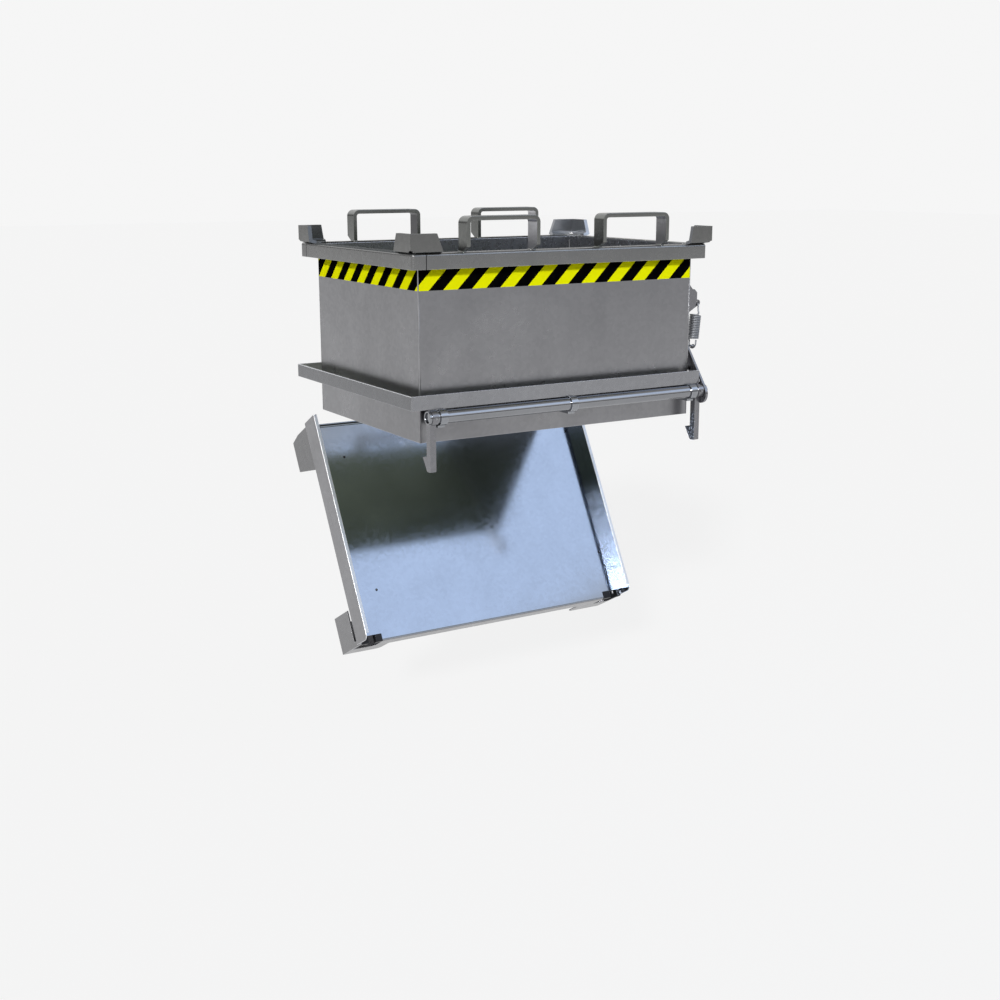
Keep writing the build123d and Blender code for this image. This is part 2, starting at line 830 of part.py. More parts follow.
def rear_foot(name, side):
    """A rear foot: a plate under the side plate, slanted at its front edge."""
    under = floor_top - pan_sheet
    low_rear = pan_rear - foot_nest_play
    rear = low_rear + rear_foot_past
    with BuildPart() as foot:
        with BuildSketch(flap_yz.offset(pan_half - foot_plate)):
            with BuildLine():
                Polyline(
                    (low_rear, sole),
                    (low_rear - rear_foot_length, sole),
                    (low_rear - rear_foot_root, floor_top - rear_foot_slope),
                    (low_rear - rear_foot_root, under),
                    (low_rear - rear_foot_past, under),
                    (rear, under - 2 * rear_foot_past),
                    (rear, sole + corner_height),
                    close=True,
                )
            make_face()
        extrude(amount=foot_plate)
        to_side(side)
    save(foot, name)


def catch_block(name, side, hook_x):
    """The block in a front corner of the pan, stepped under the sheet and slotted for the hook's bar."""
    under = floor_top - pan_sheet
    inner = pan_half - pocket_width
    outer = pan_half - foot_plate
    with BuildPart() as block:
        with BuildSketch(flap_yz.offset(inner if side > 0 else -outer)):
            with BuildLine():
                Polyline(
                    (pan_front, catch_bottom),
                    (pan_front, floor_top),
                    (catch_front, floor_top),
                    (catch_front, under),
                    (catch_front + catch_depth, under),
                    (catch_front + catch_depth, catch_bottom),
                    close=True,
                )
            make_face()
        extrude(amount=outer - inner)
        with BuildSketch(flap_xy.offset(catch_bottom)):
            with Locations((hook_x, pan_front)):
                Rectangle(hook_thick + 2 * slot_play, 2 * (catch_front - pan_front))
        extrude(amount=floor_top - catch_bottom, mode=Mode.SUBTRACT)
    save(block, name)


def hinge_ear(name, side):
    """A hinge ear: a plate under the pan that runs back to the pin, with a tail that meets the stop."""
    under = floor_top - pan_sheet
    start = pan_rear - ear_length
    low = hinge_z - hinge_boss
    with BuildPart() as ear:
        with BuildSketch(flap_yz.offset(hinge_x - ear_plate / 2)):
            with BuildLine():
                Polyline(
                    (start, under),
                    (start, under - ear_nose),
                    (pan_rear - ear_nose, low),
                    (hinge_y, low),
                    (hinge_y, hinge_z + hinge_boss),
                    (pan_rear + ear_nose, under),
                    close=True,
                )
            make_face()
            with Locations((hinge_y, hinge_z)):
                Circle(hinge_boss)
                Rectangle(tail_length, 2 * tail_half, align=(Align.MIN, Align.CENTER))
                Circle(hinge_pin_radius + running_fit, mode=Mode.SUBTRACT)
        extrude(amount=ear_plate)
        to_side(side)
    save(ear, name)


# Body: walls and tape
wall_height = body_height - rim_sheet
tape_z = rim_top - tape_below_rim - tape_height
for name, place in (("rear", 1), ("front", -1)):
    faces = sorted((place * half_d, place * (half_d - wall_sheet)))
    upright_sheet(f"wall_{name}", -half_l, half_l, *faces, sill, wall_height)
    faces = sorted((place * half_d, place * (half_d + tape_thick)))
    upright_sheet(f"tape_{name}", tape_margin - half_l, half_l - tape_margin, *faces, tape_z, tape_height)
for name, place in (("right", 1), ("left", -1)):
    faces = sorted((place * half_l, place * (half_l - wall_sheet)))
    upright_sheet(f"wall_{name}", *faces, wall_sheet - half_d, half_d - wall_sheet, sill, wall_height)
    faces = sorted((place * half_l, place * (half_l + tape_thick)))
    upright_sheet(f"tape_{name}", *faces, tape_margin - half_d, half_d - tape_margin, tape_z, tape_height)

# Body: rim, each piece wrapping the corner at its own start
seam_x = rim_x - rim_wrap
seam_front = rim_wrap - rim_y
seam_rear = rim_rear_y - rim_wrap
half_gap = seam_gap / 2
rim_piece("rim_left", -rim_x, -seam_x - half_gap, -rim_y, seam_rear - half_gap)
rim_piece("rim_rear", -rim_x, seam_x - half_gap, seam_rear + half_gap, rim_rear_y)
rim_piece("rim_right", seam_x + half_gap, rim_x, seam_front + half_gap, rim_rear_y)
rim_piece("rim_front", half_gap - seam_x, rim_x, -rim_y, seam_front - half_gap)

# Body: fork loops and stacking corners
for row, side_y in (("front", -1), ("rear", 1)):
    for column, side_x in (("left", -1), ("right", 1)):
        wing, taper = (long_wing, long_taper) if side_x == side_y else (short_wing, short_taper)
        fork_loop(f"loop_{row}_{column}", side_x, side_y)
        stacking_corner(f"corner_{row}_{column}", side_x, side_y, wing, taper)

# Body: lower band, bearings and their bolts
bearing_places = (
    ("left", left_bearing_inset - half_l),
    ("middle", 0.0),
    ("right", half_l - right_bearing_inset),
)
bolt_places = [(x, shaft_y + bolt_back) for _, x in bearing_places]
front_end = half_l + band_end_past_wall
right_start = -half_d + band_right_start
front_left = (-band_x, band_front)
rear_left = (-band_x, band_rear)
rear_right = (band_x, band_rear)
wall_front_left = (-half_l, -half_d)
wall_rear_left = (-half_l, half_d)
wall_rear_right = (half_l, half_d)
band_piece(
    "band_front", (wall_front_left, front_left, (front_end, band_front), (front_end, -half_d)), bolt_places
)
band_piece("band_left", (wall_front_left, front_left, rear_left, wall_rear_left))
band_piece("band_rear", (wall_rear_left, rear_left, rear_right, wall_rear_right))
band_piece("band_right", (wall_rear_right, rear_right, (band_x, right_start), (half_l, right_start)))
for name, x in bearing_places:
    bearing(f"bearing_{name}", x)
bearing_bolts(bolt_places)

# Latch shaft with its hooks, lever and spring
release_shaft()
hook("hook_left", left_hook_x)
hook("hook_right", right_hook_x)
hook_pins()
release_lever()
headed_pin(
    "spring_pin",
    spring_pin_y,
    spring_pin_z,
    lever_x,
    spring_x + wire / 2 + spring_pin_past,
    spring_pin_radius,
    spring_pin_head,
    spring_pin_rim,
)
lever_stop()
spring_bracket(return_spring())

# Floor flap and its hinges
floor_pan()
channel("channel_middle", 0.0, pan_rear - pan_bend - pan_sheet)
for name, side, hook_x in (("left", -1, left_hook_x), ("right", 1, right_hook_x)):
    side_plate(f"side_{name}", side)
    channel(f"channel_{name}", side * hinge_x, pan_rear - ear_length)
    front_foot(f"foot_front_{name}", side)
    rear_foot(f"foot_rear_{name}", side)
    catch_block(f"catch_{name}", side, hook_x)
    hinge_ear(f"hinge_ear_{name}", side)
    hinge_bracket(f"hinge_bracket_{name}", side)
    headed_pin(
        f"hinge_pin_{name}",
        hinge_y,
        hinge_z,
        side * hinge_x - clevis_outer,
        side * hinge_x + clevis_outer,
        hinge_pin_radius,
        hinge_pin_head,
        hinge_pin_rim,
    )
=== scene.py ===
import json
import math

import bmesh
import bpy
from mathutils import Matrix, Vector

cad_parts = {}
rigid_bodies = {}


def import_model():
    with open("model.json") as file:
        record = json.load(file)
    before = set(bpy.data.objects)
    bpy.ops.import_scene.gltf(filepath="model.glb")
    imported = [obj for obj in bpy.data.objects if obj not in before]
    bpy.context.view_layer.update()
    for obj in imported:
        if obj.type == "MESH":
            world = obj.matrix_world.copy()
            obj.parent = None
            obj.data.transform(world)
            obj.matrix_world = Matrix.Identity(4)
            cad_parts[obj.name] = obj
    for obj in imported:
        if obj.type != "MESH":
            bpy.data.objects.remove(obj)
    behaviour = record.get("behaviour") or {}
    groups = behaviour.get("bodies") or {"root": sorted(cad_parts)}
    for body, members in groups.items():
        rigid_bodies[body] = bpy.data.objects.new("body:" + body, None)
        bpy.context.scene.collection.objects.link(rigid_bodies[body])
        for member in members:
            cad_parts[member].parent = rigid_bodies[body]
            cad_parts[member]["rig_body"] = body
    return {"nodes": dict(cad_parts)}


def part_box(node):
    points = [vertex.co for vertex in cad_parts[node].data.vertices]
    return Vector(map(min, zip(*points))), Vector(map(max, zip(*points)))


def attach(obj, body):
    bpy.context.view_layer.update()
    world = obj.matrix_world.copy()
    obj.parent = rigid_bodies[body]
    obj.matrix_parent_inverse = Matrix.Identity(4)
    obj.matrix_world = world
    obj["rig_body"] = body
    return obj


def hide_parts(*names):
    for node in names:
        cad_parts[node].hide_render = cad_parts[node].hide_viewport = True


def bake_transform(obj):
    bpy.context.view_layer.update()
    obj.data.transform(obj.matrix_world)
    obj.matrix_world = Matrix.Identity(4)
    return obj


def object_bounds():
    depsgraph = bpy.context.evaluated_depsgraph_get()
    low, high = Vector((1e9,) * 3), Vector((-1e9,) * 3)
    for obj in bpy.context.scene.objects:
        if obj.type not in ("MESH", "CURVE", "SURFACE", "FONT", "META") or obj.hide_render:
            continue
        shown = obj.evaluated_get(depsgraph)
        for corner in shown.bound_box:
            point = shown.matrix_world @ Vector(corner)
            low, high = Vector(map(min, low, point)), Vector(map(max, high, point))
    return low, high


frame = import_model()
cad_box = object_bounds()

# Viewpoint. The container hangs on fork tines and is seen from the front left, a little from above,
# with a normal lens.
camera_place = (-2.8443, -4.7106, 0.1687)
camera_turn = math.radians(31.02)
camera_dip = math.radians(13.42)
camera_roll = math.radians(0.08)
camera_lens = 49.74
sensor_width = 36.0
camera_data = bpy.data.cameras.new("viewpoint")
camera_data.lens = camera_lens
camera_data.sensor_width = sensor_width
camera = bpy.data.objects.new("viewpoint", camera_data)
camera.location = camera_place
camera.rotation_euler = (math.pi / 2 - camera_dip, camera_roll, -camera_turn)
bpy.context.scene.collection.objects.link(camera)
bpy.context.scene.camera = camera
bpy.context.scene.view_settings.view_transform = "Standard"

# Studio. A pale floor and backdrop round the hanging container, a key light from the front left, and a
# cool soft panel at the front right. In the zinc, a bright ring of sky shows between a dark horizon and
# a dark ceiling.
white = (1, 1, 1, 1)
backdrop_tone = 0.92
mirrored_tones = [
    (-0.02, 0.26),
    (0.14, 0.24),
    (0.30, 1.0),
    (0.62, 1.0),
    (0.80, 0.54),
    (0.92, 0.30),
    (1.0, 0.18),
]
surround_light = 0.20
floor_gap = 0.45
floor_reach = 60.0
floor_veil = 0.88
floor_glow_tone = 0.965
floor_colour = (0.9, 0.9, 0.9, 1)
floor_dullness = 0.9
key_from = (-0.90, -1.0, 0.63)
key_distance = 5
key_strength = 2.3
key_angle = math.radians(6)
panel_place = (2.41, -3.00, 1.67)
panel_aim = (0.0, 0.26, -1.26)
panel_width = 3.2
panel_height = 2.0
panel_watts = 19.0
panel_colour = (0.43, 0.64, 1.0)

world = bpy.data.worlds.new("surround")
bpy.context.scene.world = world
world.use_nodes = True
world_tree = world.node_tree
world_tree.nodes.clear()
lit = world_tree.nodes.new("ShaderNodeBackground")
lit.inputs["Strength"].default_value = surround_light
lit.inputs["Color"].default_value = white
way = world_tree.nodes.new("ShaderNodeTexCoord")
height = world_tree.nodes.new("ShaderNodeSeparateXYZ")
world_tree.links.new(way.outputs["Generated"], height.inputs[0])
raised = world_tree.nodes.new("ShaderNodeMapRange")
raised.inputs["From Min"].default_value = -1.0
world_tree.links.new(height.outputs["Z"], raised.inputs["Value"])
sky = world_tree.nodes.new("ShaderNodeValToRGB")
for level, tone in mirrored_tones:
    stop = sky.color_ramp.elements.new((level + 1) / 2)
    stop.color = (tone, tone, tone, 1)
sky.color_ramp.elements.remove(sky.color_ramp.elements[0])
world_tree.links.new(raised.outputs[0], sky.inputs[0])
mirrored = world_tree.nodes.new("ShaderNodeBackground")
world_tree.links.new(sky.outputs[0], mirrored.inputs["Color"])
seen = world_tree.nodes.new("ShaderNodeBackground")
seen.inputs["Color"].default_value = white
seen.inputs["Strength"].default_value = backdrop_tone
ray = world_tree.nodes.new("ShaderNodeLightPath")
glossy = world_tree.nodes.new("ShaderNodeMixShader")
world_tree.links.new(ray.outputs["Is Glossy Ray"], glossy.inputs[0])
world_tree.links.new(lit.outputs[0], glossy.inputs[1])
world_tree.links.new(mirrored.outputs[0], glossy.inputs[2])
surround = world_tree.nodes.new("ShaderNodeMixShader")
world_tree.links.new(ray.outputs["Is Camera Ray"], surround.inputs[0])
world_tree.links.new(glossy.outputs[0], surround.inputs[1])
world_tree.links.new(seen.outputs[0], surround.inputs[2])
world_out = world_tree.nodes.new("ShaderNodeOutputWorld")
world_tree.links.new(surround.outputs[0], world_out.inputs[0])

floor_mesh = bpy.data.meshes.new("floor")
shape = bmesh.new()
bmesh.ops.create_grid(shape, x_segments=1, y_segments=1, size=floor_reach)
bmesh.ops.translate(shape, verts=shape.verts, vec=(0, 0, cad_box[0].z - floor_gap))
shape.to_mesh(floor_mesh)
shape.free()
floor = bpy.data.objects.new("floor", floor_mesh)
bpy.context.scene.collection.objects.link(floor)
floor_paint = bpy.data.materials.new("pale_floor")
floor_paint.use_nodes = True
floor_tree = floor_paint.node_tree
floor_shader = floor_tree.nodes["Principled BSDF"]
floor_shader.inputs["Base Color"].default_value = floor_colour
floor_shader.inputs["Roughness"].default_value = floor_dullness
floor_glow = floor_tree.nodes.new("ShaderNodeEmission")
floor_glow.inputs["Color"].default_value = white
floor_glow.inputs["Strength"].default_value = floor_glow_tone
floor_share = floor_tree.nodes.new("ShaderNodeMath")
floor_share.operation = "MULTIPLY"
floor_share.inputs[1].default_value = floor_veil
floor_ray = floor_tree.nodes.new("ShaderNodeLightPath")
floor_seen = floor_tree.nodes.new("ShaderNodeMath")
floor_seen.operation = "MAXIMUM"
floor_tree.links.new(floor_ray.outputs["Is Camera Ray"], floor_seen.inputs[0])
floor_tree.links.new(floor_ray.outputs["Is Glossy Ray"], floor_seen.inputs[1])
floor_tree.links.new(floor_seen.outputs[0], floor_share.inputs[0])
floor_mix = floor_tree.nodes.new("ShaderNodeMixShader")
floor_tree.links.new(floor_share.outputs[0], floor_mix.inputs[0])
floor_tree.links.new(floor_shader.outputs[0], floor_mix.inputs[1])
floor_tree.links.new(floor_glow.outputs[0], floor_mix.inputs[2])
floor_tree.links.new(floor_mix.outputs[0], floor_tree.nodes["Material Output"].inputs["Surface"])
floor_mesh.materials.append(floor_paint)

key_data = bpy.data.lights.new("key_light", "SUN")
key_data.energy = key_strength
key_data.angle = key_angle
key = bpy.data.objects.new("key_light", key_data)
key.location = key_distance * Vector(key_from)
key.rotation_euler = (-Vector(key_from)).to_track_quat("-Z", "Y").to_euler()
bpy.context.scene.collection.objects.link(key)

panel_data = bpy.data.lights.new("cool_panel", "AREA")
panel_data.shape = "RECTANGLE"
panel_data.size = panel_width
panel_data.size_y = panel_height
panel_data.energy = panel_watts
panel_data.color = panel_colour
panel = bpy.data.objects.new("cool_panel", panel_data)
panel.location = panel_place
panel.rotation_euler = (Vector(panel_aim) - Vector(panel_place)).to_track_quat("-Z", "Y").to_euler()
bpy.context.scene.collection.objects.link(panel)

# Walls. Four sheets of steel, welded at the corners and dipped in zinc with the whole body: grey, with
# faint crystals, broad smudges and runs. The inside faces are painted lighter and bluer than the outside,
# a painted light that lifts the shade in the box; the front wall's inside is stained olive and painted
# lighter too.


def noise(tree, place, scale, detail, distortion=0.0):
    """Cloudy noise over the piece, from 0 to 1."""
    clouds = tree.nodes.new("ShaderNodeTexNoise")
    clouds.inputs["Scale"].default_value = scale
    clouds.inputs["Detail"].default_value = detail
    clouds.inputs["Distortion"].default_value = distortion
    tree.links.new(place, clouds.inputs["Vector"])
    return clouds.outputs[0]


def mixed(tree, share, first, second):
    """A value that lies between two others."""
    mix = tree.nodes.new("ShaderNodeMix")
    mix.inputs[0].default_value = share
    tree.links.new(first, mix.inputs[2])
    tree.links.new(second, mix.inputs[3])
    return mix.outputs[0]


def zinc_coat(name, tone, spread, dull, smear=0.8, spangle=75.0):
    """Zinc on steel: its mean tone, how far smudges stray from that, and how dull it is."""
    smudge_scale, smudge_detail = 2.4, 6.0
    run_scale, run_detail = (11.0, 11.0, 1.2), 2.0
    run_share, crystal_share = 0.30, 0.10
    darkest_at, lightest_at = 0.32, 0.68
    edge_patch_scale, edge_patch_detail, edge_wear_and_highlight_gain = 9.0, 2.0, 2.4
    gloss_swing, gloss_crystals = 0.06, 0.4
    material = bpy.data.materials.new(name)
    material.use_nodes = True
    tree = material.node_tree
    shader = tree.nodes["Principled BSDF"]
    place = tree.nodes.new("ShaderNodeTexCoord").outputs["Object"]

    smudges = noise(tree, place, smudge_scale, smudge_detail, smear)
    upright = tree.nodes.new("ShaderNodeMapping")
    upright.inputs["Scale"].default_value = run_scale
    tree.links.new(place, upright.inputs["Vector"])
    runs = noise(tree, upright.outputs[0], 1.0, run_detail)
    crystals = tree.nodes.new("ShaderNodeTexVoronoi")
    crystals.inputs["Scale"].default_value = spangle
    tree.links.new(place, crystals.inputs["Vector"])
    crystal = tree.nodes.new("ShaderNodeSeparateColor")
    tree.links.new(crystals.outputs["Color"], crystal.inputs[0])

    skin = mixed(tree, run_share, smudges, runs)
    skin = mixed(tree, crystal_share, skin, crystal.outputs[0])
    tint = tree.nodes.new("ShaderNodeValToRGB")
    tint.color_ramp.elements[0].position = darkest_at
    tint.color_ramp.elements[0].color = (*[c * (1 - spread) for c in tone], 1)
    tint.color_ramp.elements[1].position = lightest_at
    tint.color_ramp.elements[1].color = (*[c * (1 + spread) for c in tone], 1)
    tree.links.new(skin, tint.inputs[0])

    # Rounded edges are made lighter in patches: partly wear, partly a painted highlight.
    edge_wear_and_highlight_marks = tree.nodes.new("ShaderNodeAttribute")
    edge_wear_and_highlight_marks.attribute_name = "edge_wear_and_highlight"
    patchy_edge_wear_and_highlight = tree.nodes.new("ShaderNodeMath")
    patchy_edge_wear_and_highlight.operation = "MULTIPLY"
    tree.links.new(edge_wear_and_highlight_marks.outputs["Fac"], patchy_edge_wear_and_highlight.inputs[0])
    tree.links.new(noise(tree, place, edge_patch_scale, edge_patch_detail), patchy_edge_wear_and_highlight.inputs[1])
    edge = tree.nodes.new("ShaderNodeMix")
    edge.data_type = "RGBA"
    edge.inputs[7].default_value = (*[min(1.0, edge_wear_and_highlight_gain * c) for c in tone], 1)
    tree.links.new(patchy_edge_wear_and_highlight.outputs[0], edge.inputs[0])
    tree.links.new(tint.outputs[0], edge.inputs[6])
    tree.links.new(edge.outputs[2], shader.inputs["Base Color"])

    gloss = tree.nodes.new("ShaderNodeMapRange")
    gloss.inputs["To Min"].default_value = dull + gloss_swing
    gloss.inputs["To Max"].default_value = dull - gloss_swing
    tree.links.new(mixed(tree, gloss_crystals, smudges, crystal.outputs[0]), gloss.inputs["Value"])
    tree.links.new(gloss.outputs[0], shader.inputs["Roughness"])

    shader.inputs["Metallic"].default_value = 1.0
    return material


# A face looks one way when its normal has at least this share of it. Points nearer than the gap are one.
facing = 0.6
merge_gap = 1e-6


def softened(node, coat, width=0.0012, steps=2, wear_and_highlight=1.0, shortest=0.0, linings=()):
    """A copy of a piece with its edges rounded off and made lighter, partly as wear and partly as a
    painted highlight, which stands in its place.

    Edges under the shortest length stay sharp. Each lining is a coat for the faces that look one way.
    """
    sharp = math.radians(32)
    level = math.radians(0.5)
    shape = bmesh.new()
    shape.from_mesh(frame["nodes"][node].data)
    bmesh.ops.remove_doubles(shape, verts=shape.verts, dist=merge_gap)
    bmesh.ops.dissolve_limit(
        shape, angle_limit=level, verts=shape.verts, edges=shape.edges, delimit=set()
    )
    edge_wear_and_highlight_marks = shape.faces.layers.float.new("edge_wear_and_highlight")
    edges = [e for e in shape.edges if e.calc_face_angle(0.0) > sharp and e.calc_length() > shortest]
    made = bmesh.ops.bevel(
        shape,
        geom=edges,
        offset=width,
        offset_type="OFFSET",
        affect="EDGES",
        segments=steps,
        profile=0.5,
        material=-1,
        clamp_overlap=True,
    )
    for face in made["faces"]:
        face[edge_wear_and_highlight_marks] = wear_and_highlight
    for face in shape.faces:
        face.smooth = True
        for index, (_, way) in enumerate(linings, 1):
            if face.normal.dot(way) > facing:
                face.material_index = index
    for e in shape.edges:
        e.smooth = e.calc_face_angle(0.0) < sharp
    mesh = bpy.data.meshes.new(f"{node}_dressed")
    shape.to_mesh(mesh)
    shape.free()
    mesh.materials.append(coat)
    for lining, _ in linings:
        mesh.materials.append(lining)
    piece = bpy.data.objects.new(f"{node}_dressed", mesh)
    bpy.context.scene.collection.objects.link(piece)
    flat = piece.modifiers.new("flat_faces", "WEIGHTED_NORMAL")
    flat.keep_sharp = True
    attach(piece, frame["nodes"][node]["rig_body"])
    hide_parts(node)
    return piece


ahead, behind = Vector((0, -1, 0)), Vector((0, 1, 0))
leftward, rightward = Vector((-1, 0, 0)), Vector((1, 0, 0))
upward = Vector((0, 0, 1))
wall_zinc = zinc_coat("wall_zinc", (0.277, 0.277, 0.289), 0.10, 0.30)
# Painted light: the inner faces are lighter than the outside, to lift the shade inside.
inside_painted_light_zinc = zinc_coat("inside_painted_light_zinc", (0.300, 0.307, 0.335), 0.16, 0.28)
front_inside_stain_and_light_zinc = zinc_coat("front_inside_stain_and_light_zinc", (0.340, 0.368, 0.245), 0.22, 0.55)
softened("wall_front", wall_zinc, linings=[(front_inside_stain_and_light_zinc, behind)])
softened("wall_rear", wall_zinc, linings=[(inside_painted_light_zinc, ahead)])
softened("wall_left", wall_zinc, linings=[(inside_painted_light_zinc, rightward)])
softened("wall_right", wall_zinc, linings=[(inside_painted_light_zinc, leftward)])


def new_piece(name, shape, coat, body):
    """Makes an object of a finished shape, with smooth shading, that rides on a body."""
    for face in shape.faces:
        face.smooth = True
    mesh = bpy.data.meshes.new(name)
    shape.to_mesh(mesh)
    shape.free()
    mesh.materials.append(coat)
    piece = bpy.data.objects.new(name, mesh)
    bpy.context.scene.collection.objects.link(piece)
    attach(piece, body)
    return piece


# Corner seams. The walls' upright corners are welded from outside and ground round. The strips are
# painted lighter than the walls, a painted highlight down each corner.
seam_width = 0.0056
seam_proud = 0.0003
seam_round = 0.0042
seam_top = -0.125
seam_short = 0.001
seam_highlight_zinc = zinc_coat("seam_highlight_zinc", (0.31, 0.31, 0.32), 0.10, 0.40)
body_low, body_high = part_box("wall_front")
half_length = body_high.x
half_depth = -body_low.y
seams = bmesh.new()
for side_x in (-1, 1):
    for side_y in (-1, 1):
        strip = bmesh.ops.create_cube(seams, size=1.0)["verts"]
        seam_length = seam_top - body_low.z - seam_short
        bmesh.ops.scale(seams, verts=strip, vec=(seam_width, seam_width, seam_length))
        middle = (
            side_x * (half_length + seam_proud - seam_width / 2),
            side_y * (half_depth + seam_proud - seam_width / 2),
            (seam_top + body_low.z) / 2,
        )
        bmesh.ops.translate(seams, verts=strip, vec=middle)
        outer = [v for v in strip if abs(v.co.x) > half_length and abs(v.co.y) > half_depth]
        upright = [e for e in outer[0].link_edges if e.other_vert(outer[0]) in outer]
        bmesh.ops.bevel(
            seams, geom=upright, offset=seam_round, affect="EDGES", segments=5, profile=0.5, material=-1
        )
new_piece("corner_seams", seams, seam_highlight_zinc, "container")

# Rim. Four lengths of folded sheet round the top of the walls, each wrapped round one corner and butted
# against the next. The top of the left length is painted dark and without metal shine, a painted shade.
rim_zinc = zinc_coat("rim_zinc", (0.235, 0.236, 0.236), 0.08, 0.28)
rim_top_shade_zinc = zinc_coat("rim_top_shade_zinc", (0.088, 0.095, 0.098), 0.15, 0.60)
rim_top_shade_shader = rim_top_shade_zinc.node_tree.nodes["Principled BSDF"]
rim_top_shade_shader.inputs["Metallic"].default_value = 0.0
rim_top_shade_shader.inputs["Specular IOR Level"].default_value = 0.1
joint_zinc = zinc_coat("joint_zinc", (0.030, 0.030, 0.031), 0.20, 0.45)
joint_reach = 0.0016
joint_index = 2
rim_sides = {"front": (0, 1), "left": (1, 1), "rear": (1, 0), "right": (0, 0)}
for side, (end_x, end_y) in rim_sides.items():
    top_zinc = rim_top_shade_zinc if side == "left" else rim_zinc
    rim = softened(f"rim_{side}", rim_zinc, linings=[(top_zinc, upward)])
    rim.data.materials.append(joint_zinc)
    rim_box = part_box(f"rim_{side}")
    for face in rim.data.polygons:
        at_x = abs(face.center.x - rim_box[end_x].x) < joint_reach
        at_y = abs(face.center.y - rim_box[end_y].y) < joint_reach
        if at_x or at_y:
            face.material_index = joint_index

# Fork loops. Flat bar bent to an arch, standing on the rim over the walls, where it is welded. The inside
# of its legs and the underside of its bar are painted light and shade, loop by loop: lightest in the front
# left one and darkest in the rear left one.
loop_zinc = zinc_coat("loop_zinc", (0.215, 0.220, 0.212), 0.08, 0.22)
loop_inner_light_tones = {"front_left": 0.78, "front_right": 0.52, "rear_left": 0.14, "rear_right": 0.52}
loop_inner_light_blue = 1.04
bar_thick = 0.015
weld_size = 0.004
leg_weld = 0.027
leg_width = 0.030
for row in ("front", "rear"):
    for column in ("left", "right"):
        loop = softened(f"loop_{row}_{column}", loop_zinc, wear_and_highlight=0.3)
        loop_inner_light_tone = loop_inner_light_tones[f"{row}_{column}"]
        loop_inner_light_colour = (loop_inner_light_tone, loop_inner_light_tone, loop_inner_light_blue * loop_inner_light_tone)
        loop.data.materials.append(zinc_coat(f"loop_inner_light_zinc_{row}_{column}", loop_inner_light_colour, 0.12, 0.30))
        low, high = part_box(f"loop_{row}_{column}")
        middle_x = (low.x + high.x) / 2
        for face in loop.data.polygons:
            in_leg = abs(face.normal.x) > facing and (face.center.x - middle_x) * face.normal.x < 0
            under_bar = face.normal.z < -facing and face.center.z > high.z - 2 * bar_thick
            face.material_index = int(in_leg or under_bar)


def bead(shape, start, end, radius, ripple=0.003):
    """Adds a weld along a straight joint: a thin round bead with the ripples of its making."""
    end_size, hollow_size, crest_gain = 0.6, 0.86, 0.14
    start, end = Vector(start), Vector(end)
    length = (end - start).length
    cuts = round(length / ripple)
    rod = bmesh.new()
    bmesh.ops.create_cone(rod, cap_ends=True, segments=8, radius1=radius, radius2=radius, depth=length)
    sides = [e for e in rod.edges if abs(e.verts[0].co.z - e.verts[1].co.z) > length / 2]
    bmesh.ops.subdivide_edges(rod, edges=sides, cuts=cuts)
    for v in rod.verts:
        row = round((v.co.z / length + 0.5) * (cuts + 1))
        size = end_size if row in (0, cuts + 1) else hollow_size + crest_gain * (row % 2)
        v.co.x *= size
        v.co.y *= size
    turn = (end - start).to_track_quat("Z", "Y").to_matrix().to_4x4()
    bmesh.ops.transform(rod, matrix=Matrix.Translation((start + end) / 2) @ turn, verts=rod.verts)
    mesh = bpy.data.meshes.new("bead")
    rod.to_mesh(mesh)
    rod.free()
    shape.from_mesh(mesh)
    bpy.data.meshes.remove(mesh)


loop_welds = bmesh.new()
for row in ("front", "rear"):
    for column in ("left", "right"):
        low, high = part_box(f"loop_{row}_{column}")
        inner_y = high.y if row == "front" else low.y
        out = -1 if row == "front" else 1
        for leg in (low.x, high.x - bar_thick):
            for face_x in (leg, leg + bar_thick):
                bead(
                    loop_welds,
                    (face_x, inner_y, low.z),
                    (face_x, inner_y + out * leg_weld, low.z),
                    weld_size,
                )
            for across_y in (inner_y, inner_y + out * leg_width):
                bead(
                    loop_welds,
                    (leg, across_y, low.z),
                    (leg + bar_thick, across_y, low.z),
                    weld_size,
                )
new_piece("loop_welds", loop_welds, loop_zinc, "container")

# Stacking corners. Thick joggled plates on the rim's corners that take the feet of the next container.
# They are bent from one plate each and welded to the rim. Their inner faces are painted lighter, a
# painted light, and those of the rear left one darker, a painted shade.
corner_zinc = zinc_coat("corner_zinc", (0.200, 0.201, 0.198), 0.08, 0.22)
corner_inside_light_zinc = zinc_coat("corner_inside_light_zinc", (0.334, 0.345, 0.368), 0.10, 0.30)
corner_inside_shade_zinc = zinc_coat("corner_inside_shade_zinc", (0.150, 0.155, 0.160), 0.10, 0.30)
corner_plate = 0.016
corner_round = 0.0015
corner_weld_short = 0.022
corner_welds = bmesh.new()
for row in ("front", "rear"):
    for column in ("left", "right"):
        side_x = -1 if column == "left" else 1
        side_y = -1 if row == "front" else 1
        within = corner_inside_shade_zinc if (row, column) == ("rear", "left") else corner_inside_light_zinc
        softened(
            f"corner_{row}_{column}",
            corner_zinc,
            corner_round,
            wear_and_highlight=0.4,
            linings=[(within, -side_x * rightward), (within, -side_y * behind)],
        )
        low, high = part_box(f"corner_{row}_{column}")
        wing = high.x - low.x - corner_plate
        foot_x = max(abs(low.x), abs(high.x)) - 2 * corner_plate
        foot_y = max(abs(low.y), abs(high.y)) - 2 * corner_plate
        bend = (side_x * foot_x, side_y * foot_y, low.z)
        run = wing - corner_weld_short
        bead(corner_welds, (bend[0] - side_x * run, bend[1], low.z), bend, weld_size)
        bead(corner_welds, (bend[0], bend[1] - side_y * run, low.z), bend, weld_size)
new_piece("corner_welds", corner_welds, corner_zinc, "container")

